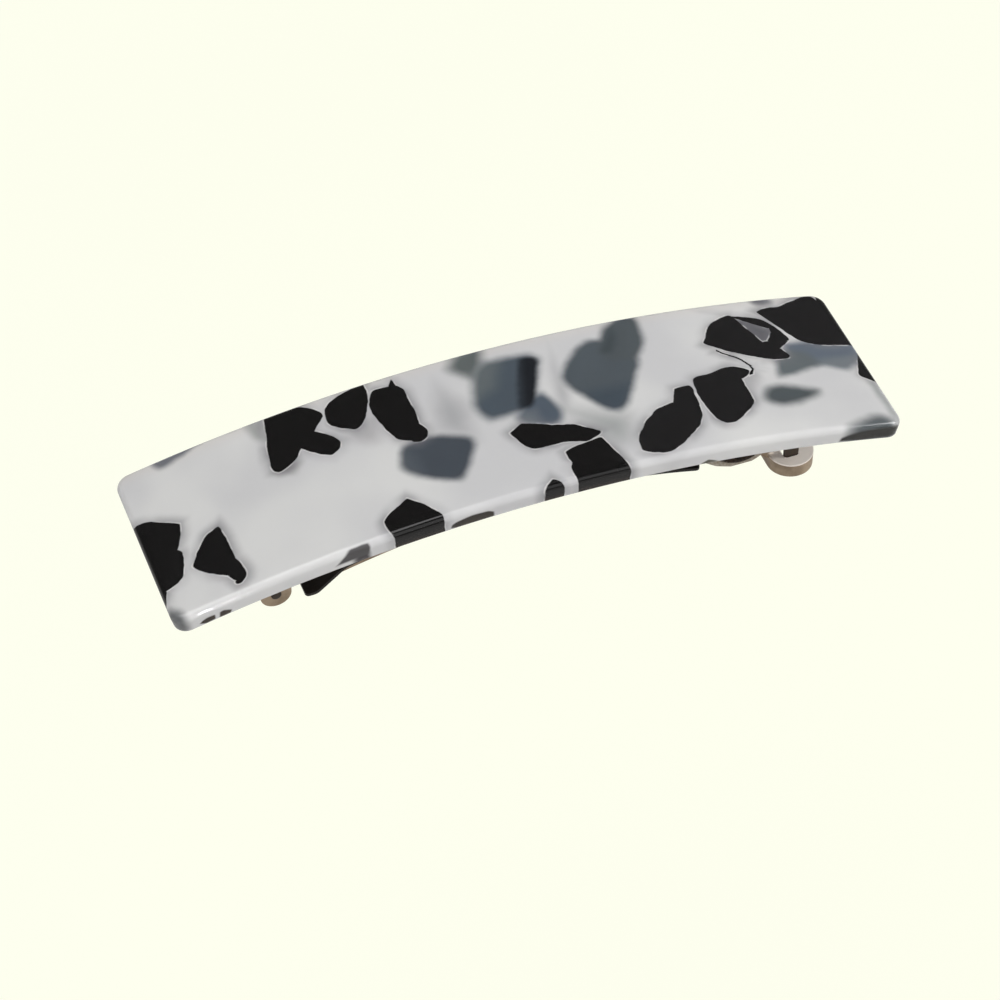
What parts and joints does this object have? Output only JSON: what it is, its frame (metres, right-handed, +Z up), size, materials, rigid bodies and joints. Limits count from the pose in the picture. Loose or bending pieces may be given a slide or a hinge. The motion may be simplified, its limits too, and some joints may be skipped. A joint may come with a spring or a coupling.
{
  "type": "barrette",
  "caption": "Curved rectangular acetate hair barrette on an automatic snap clip: hinged lever, arched tension bow and two-leg pinch latch.",
  "frame": {"origin": "on the surface that the closed clip rests on, under the centre of the plate", "axes": "+X along the plate from the hinge end to the latch end, +Z up through the plate's convex face, +Y across the plate"},
  "size_m": [0.1002, 0.027, 0.0207],
  "materials": {
    "acetate": "polished milky cellulose acetate with embedded black and blue-grey chips",
    "plated_steel": "warm nickel plating on pressed sheet steel",
    "bright_steel": "bright plated pin and rivet ends",
    "black_spring_steel": "blackened spring steel, satin"
  },
  "bodies": {
    "clip_base": {"plate": "acetate", "base": "plated_steel", "fixing_pins": "bright_steel", "hinge_pin": "bright_steel", "latch_bridge": "plated_steel", "latch_rivet": "bright_steel"},
    "lever": {"lever": "plated_steel"},
    "bow": {"tension_bow": "black_spring_steel"},
    "front_leg": {"front_latch_leg": "plated_steel"},
    "rear_leg": {"rear_latch_leg": "plated_steel"}
  },
  "joints": [
    {"name": "lever_hinge", "type": "hinge", "parent": "clip_base", "child": "lever", "pos_m": [-0.0342, 0, 0.00455], "axis": [0, 1, 0], "range_deg": [0, 90]},
    {"name": "bow_flex", "type": "hinge", "parent": "lever", "child": "bow", "pos_m": [-0.0287, 0, 0.00265], "axis": [0, -1, 0], "range_deg": [0, 4], "stiffness_Nm_per_rad": 0.02},
    {"name": "front_pinch", "type": "hinge", "parent": "clip_base", "child": "front_leg", "pos_m": [0.033, -0.00255, 0.0117], "axis": [0.9455, 0, -0.3256], "range_deg": [0, 6], "stiffness_Nm_per_rad": 0.02},
    {"name": "rear_pinch", "type": "hinge", "parent": "clip_base", "child": "rear_leg", "pos_m": [0.033, 0.00255, 0.0117], "axis": [-0.9455, 0, 0.3256], "range_deg": [0, 6], "stiffness_Nm_per_rad": 0.02}
  ]
}
